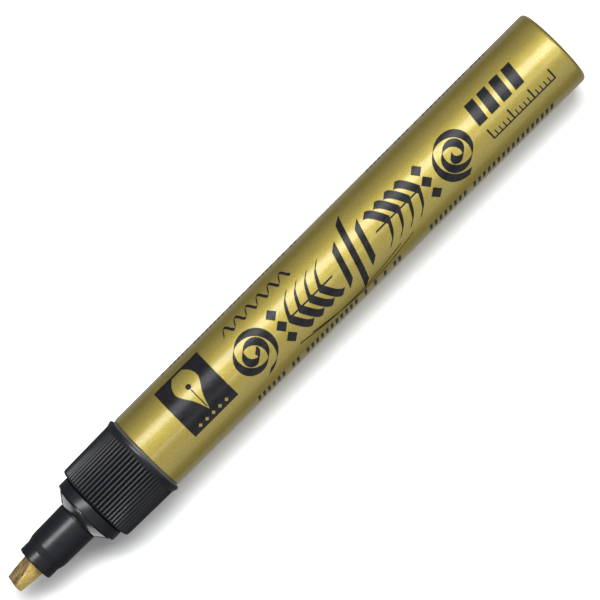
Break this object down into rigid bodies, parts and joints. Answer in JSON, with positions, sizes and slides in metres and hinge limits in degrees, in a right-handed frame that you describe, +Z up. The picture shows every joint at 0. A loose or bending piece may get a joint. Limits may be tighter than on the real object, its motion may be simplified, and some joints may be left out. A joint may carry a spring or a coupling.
{
  "type": "calligraphy marker",
  "caption": "Valve-action calligraphy marker: round metal barrel, ribbed grip collar, stepped neck and a chisel nib that presses back against a sprung valve.",
  "frame": {"origin": "under the middle of the marker's length, on the surface it lies on", "axes": "+X along the marker from nib to butt, +Y across it, +Z up; the marker's axis is parallel to X, a rim radius above the origin"},
  "size_m": [0.1352, 0.0168, 0.0169],
  "materials": {
    "gold_lacquer": "satin gold lacquer on aluminium, printed in black",
    "black_plastic": "semi-gloss moulded black plastic",
    "neck_plastic": "milky grey unpigmented plastic",
    "gasket_plastic": "pale soft plastic",
    "nib_fibre": "bonded fibre soaked in gold ink",
    "buffer_fibre": "loose fibre sleeve, ink-stained",
    "white_plastic": "unpigmented moulded plastic",
    "seat_rubber": "black solvent-proof rubber",
    "washer_rubber": "red-brown solvent-proof rubber",
    "steel": "bright stainless steel"
  },
  "bodies": {
    "barrel": {"barrel_can": "gold_lacquer", "barrel_gasket": "gasket_plastic", "grip_collar": "black_plastic", "cap_seat_ring": "black_plastic", "neck_plug": "neck_plastic", "nib_holder": "black_plastic", "ink_buffer": "buffer_fibre", "valve_seat": "seat_rubber", "valve_cage": "white_plastic", "spring_seat": "white_plastic", "valve_spring": "steel"},
    "nib": {"nib": "nib_fibre", "nib_ferrule": "white_plastic"},
    "valve": {"valve_stem": "white_plastic", "valve_washer": "washer_rubber"},
    "ball": {"mixing_ball": "steel"}
  },
  "joints": [
    {"name": "nib_press", "type": "slide", "parent": "barrel", "child": "nib", "axis": [1, 0, 0], "range_m": [0, 0.0012], "stiffness_N_per_m": 1200, "springref_m": -0.0008},
    {"name": "valve_slide", "type": "slide", "parent": "barrel", "child": "valve", "axis": [1, 0, 0], "range_m": [0, 0.0012], "deforming": ["valve_spring"]},
    {"name": "ball_roll", "type": "slide", "parent": "barrel", "child": "ball", "axis": [1, 0, 0], "range_m": [-0.0636, 0.021]}
  ],
  "couplings": [
    {"joint": "valve_slide", "follows": "nib_press", "ratio": 1}
  ]
}
